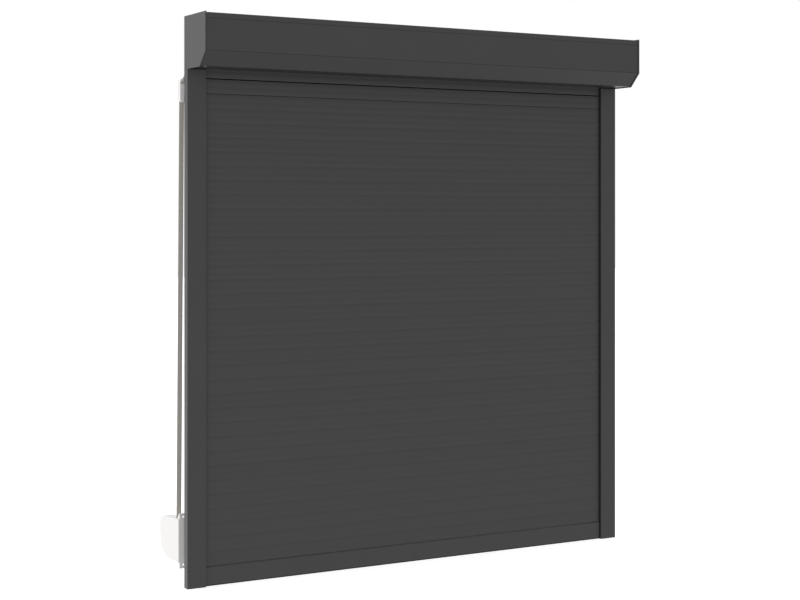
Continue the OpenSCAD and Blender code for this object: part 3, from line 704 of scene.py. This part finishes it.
def strapTree():
    tree, board = newTree("strapWeave")
    line = board.inlet("Line", "NodeSocketObject")
    edge = board.inlet("Edge", "NodeSocketObject")
    step = board.inlet("Step", "NodeSocketFloat")
    material = board.inlet("Finish", "NodeSocketMaterial")
    path = board.add("GeometryNodeObjectInfo", None, {"Object": line}, "Geometry")
    even = board.add("GeometryNodeResampleCurve", {"mode": "LENGTH"}, {"Curve": path, "Length": step})
    flat = board.add("GeometryNodeSetCurveNormal", {"mode": "FREE"}, {"Curve": even, "Normal": (1, 0, 0)})
    run = board.add("GeometryNodeSplineParameter", outlet="Length")
    measured = board.add("GeometryNodeStoreNamedAttribute", {"data_type": "FLOAT", "domain": "POINT"},
                         {"Geometry": flat, "Name": "strapRun", "Value": run})
    loop = board.add("GeometryNodeObjectInfo", None, {"Object": edge}, "Geometry")
    across = board.add("ShaderNodeSeparateXYZ", None, {"Vector": board.add("GeometryNodeInputPosition")}, "X")
    ruled = board.add("GeometryNodeStoreNamedAttribute", {"data_type": "FLOAT", "domain": "POINT"},
                      {"Geometry": loop, "Name": "strapAcross", "Value": across})
    woven = board.add("GeometryNodeCurveToMesh", None,
                      {"Curve": measured, "Profile Curve": ruled, "Fill Caps": True})
    smooth = board.add("GeometryNodeSetShadeSmooth", {"domain": "FACE"}, {"Geometry": woven, "Shade Smooth": True})
    board.close(smooth, material)
    return tree


line = outline("strapLine", [strapLine()], closed=False)
edge = outline("strapEdge", [strapProfile()])
strapMesh = grown(strapTree(), {"Line": line, "Edge": edge, "Step": strapLook["step"] * mm,
                                "Finish": finishes["webbing"]})
newPiece("strapWoven", strapMesh, "strap")
drop(line, bpy.data.curves)
drop(edge, bpy.data.curves)
print("strap faces:", len(strapMesh.polygons))


# Screws of the inspection cover

screwLook = {
    "shank": 1.6, "head": 3.2, "headHigh": 2.4, "length": 11.3, "sides": 24,
    "recess": 1.3, "recessFloor": 0.8, "recessRim": 0.12, "recessDeep": 0.9, "lobes": 6, "lobeDeep": 0.14,
    "crown": 0.62, "crownSteps": 5,  # the head is rounded from this share of its radius, over this share of its height
    "thread": 1.0, "threadDeep": 0.22, "threadFrom": 0.4, "threadLess": 2,  # turns left off at the point
    "turnSeed": 4,
}


def screwSeed():
    look = screwLook
    crown = look["crown"]
    rings = [(0.0, look["recessDeep"], 0),  # radius, height, lobed or round
             (look["recessFloor"] * look["recess"], look["recessDeep"], 1), (look["recess"], look["recessRim"], 1)]
    for i in range(look["crownSteps"] + 1):
        a = pi / 2 * i / look["crownSteps"]
        rings.append((look["head"] * (crown + (1 - crown) * sin(a)), look["headHigh"] * crown * (1 - cos(a)), 0))
    rings += [(look["head"], look["headHigh"], 0), (look["shank"], look["headHigh"], 0)]
    turns = int((look["length"] - look["headHigh"]) / look["thread"]) - look["threadLess"]
    for i in range(2 * turns):
        deep = look["threadDeep"] if i % 2 == 0 else 0
        rings.append((look["shank"] - deep, look["headHigh"] + look["threadFrom"] + i * look["thread"] / 2, 0))
    rings += [(0.0, look["length"], 0)]
    mesh = bpy.data.meshes.new("screwSeed")
    shape = bmesh.new()
    loops = []
    for radius, height, lobed in rings:
        if radius == 0:
            loops.append([shape.verts.new((0, 0, height * mm))])
            continue
        loop = []
        for i in range(look["sides"]):
            a = 2 * pi * i / look["sides"]
            r = radius * (1 + look["lobeDeep"] * lobed * cos(look["lobes"] * a)) * mm
            loop.append(shape.verts.new((r * cos(a), r * sin(a), height * mm)))
        loops.append(loop)
    for low, high in zip(loops, loops[1:]):
        for i in range(look["sides"]):
            j = (i + 1) % look["sides"]
            corners = [low[i % len(low)], low[j % len(low)], high[j % len(high)], high[i % len(high)]]
            shape.faces.new(list(dict.fromkeys(corners)))
    bmesh.ops.recalc_face_normals(shape, faces=shape.faces)
    shape.to_mesh(mesh)
    shape.free()
    holder = bpy.data.objects.new("screwSeed", mesh)
    scene.collection.objects.link(holder)
    return holder


def screwTree():
    tree, board = newTree("coverScrews")
    spots = board.inlet("Spots", "NodeSocketGeometry")
    screw = board.inlet("Screw", "NodeSocketObject")
    material = board.inlet("Finish", "NodeSocketMaterial")
    shape = board.add("GeometryNodeObjectInfo", None, {"Object": screw}, "Geometry")
    turn = board.add("FunctionNodeRandomValue", {"data_type": "FLOAT"},
                     {2: 0.0, 3: 2 * pi / screwLook["lobes"], "Seed": screwLook["turnSeed"]}, 1)
    spin = board.add("ShaderNodeCombineXYZ", None, {"Z": turn})
    placed = board.add("GeometryNodeInstanceOnPoints", None, {"Points": spots, "Instance": shape, "Rotation": spin})
    board.close(placed, material)
    return tree


low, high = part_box("cover_screws")
reach = screwLook["head"] * mm
spots = bpy.data.meshes.new("screwSpots")
screwPlaces = [(x, low.y + reach, low.z) for x in (low.x + reach, high.x - reach)]
spots.from_pydata(screwPlaces, [], [])
screw = screwSeed()
# painted shade: the cover screws take the darker zinc so their heads stay dim in the shade under the box
screwMesh = grown(screwTree(), {"Screw": screw, "Finish": finishes["shadedZinc"]}, spots)
newPiece("coverScrewsCut", screwMesh, "cover_screws")
drop(screw, bpy.data.meshes)
print("screws:", len(screwPlaces))


# Floor, light and camera

stageLook = {
    "floorSize": 40, "floorColour": (0.9, 0.9, 0.9, 1), "floorRough": 0.9, "floorGlow": 0.65,
    "front": 0.09, "level": 0.36,  # even light, strongest at eye level
    "low": 0.3, "lowAt": -0.22, "lowWide": 0.25,  # a long soft box just under eye level
    "above": 0.68, "aboveBack": 0.95, "aboveFade": (0.2, 0.8),  # overhead light, stronger behind the curtain
    "below": 0.36, "belowFade": (-0.2, -0.8),  # light from the pale floor
    "behind": 0.52, "behindFade": (0.45, 0.85),  # light from the backdrop
    "left": 1.08, "leftTurn": 30, "leftDip": 0.08,  # a wide soft box on the left, turned to the front
}


def softSky():
    world = bpy.data.worlds.new("studio")
    world.use_nodes = True
    scene.world = world
    board = Board(world.node_tree)
    backdrop = world.node_tree.nodes["Background"]
    way = board.add("ShaderNodeTexCoord", outlet="Generated")
    sides = board.add("ShaderNodeSeparateXYZ", None, {"Vector": way})
    x, y, z = (Wire(board, sides.socket.node.outputs[axis]) for axis in "XYZ")

    def positive(value):
        return value.math("MAXIMUM", value, 0.0)

    def fade(value, limits):
        return board.add("ShaderNodeMapRange", {"interpolation_type": "SMOOTHSTEP"},
                         {"Value": value, "From Min": limits[0], "From Max": limits[1]})

    look = stageLook
    turn = radians(look["leftTurn"])
    leftward = -cos(turn) * x - sin(turn) * y - look["leftDip"] * z
    strip = positive(1 - ((z - look["lowAt"]) / look["lowWide"]) ** 2)
    glow = (look["front"] + look["level"] * (1 - z * z) + look["low"] * strip
            + look["behind"] * fade(y, look["behindFade"]) + look["below"] * fade(z, look["belowFade"])
            + look["left"] * positive(leftward) ** 2
            + (look["above"] + look["aboveBack"] * y) * fade(z, look["aboveFade"]))
    seen = board.add("ShaderNodeLightPath", outlet="Is Camera Ray")
    level = seen + (1 - seen) * glow
    world.node_tree.links.new(level.socket, backdrop.inputs["Strength"])
    backdrop.inputs["Color"].default_value = (1, 1, 1, 1)


def paleFloor():
    look = stageLook
    mesh = bpy.data.meshes.new("floor")
    half = look["floorSize"] / 2
    corners = [(-half, -half), (half, -half), (half, half), (-half, half)]
    mesh.from_pydata([(x, y, cadBox[0].z) for x, y in corners], [], [(0, 1, 2, 3)])
    fixed = {"Roughness": look["floorRough"], "Base Color": look["floorColour"],
             "Emission Color": (1, 1, 1, 1), "Emission Strength": look["floorGlow"]}
    mesh.materials.append(newFinish("paleFloor", fixed)[0])
    floor = bpy.data.objects.new("floor", mesh)
    floor.visible_diffuse = False  # the sky gives the light from below
    floor.visible_glossy = False
    scene.collection.objects.link(floor)


cameraLook = {"place": (-2.3746, -4.0366, 0.3002), "turn": -30, "lens": 74.07, "sensor": 36, "shift": -0.10666}


def photoCamera():
    data = bpy.data.cameras.new("photoCamera")
    data.lens = cameraLook["lens"]
    data.sensor_width = cameraLook["sensor"]
    data.shift_y = cameraLook["shift"]
    camera = bpy.data.objects.new("photoCamera", data)
    camera.location = cameraLook["place"]
    camera.rotation_euler = (pi / 2, 0, radians(cameraLook["turn"]))
    scene.collection.objects.link(camera)
    scene.camera = camera


softSky()
paleFloor()
photoCamera()
scene.view_settings.view_transform = "Standard"
print("stage ready")
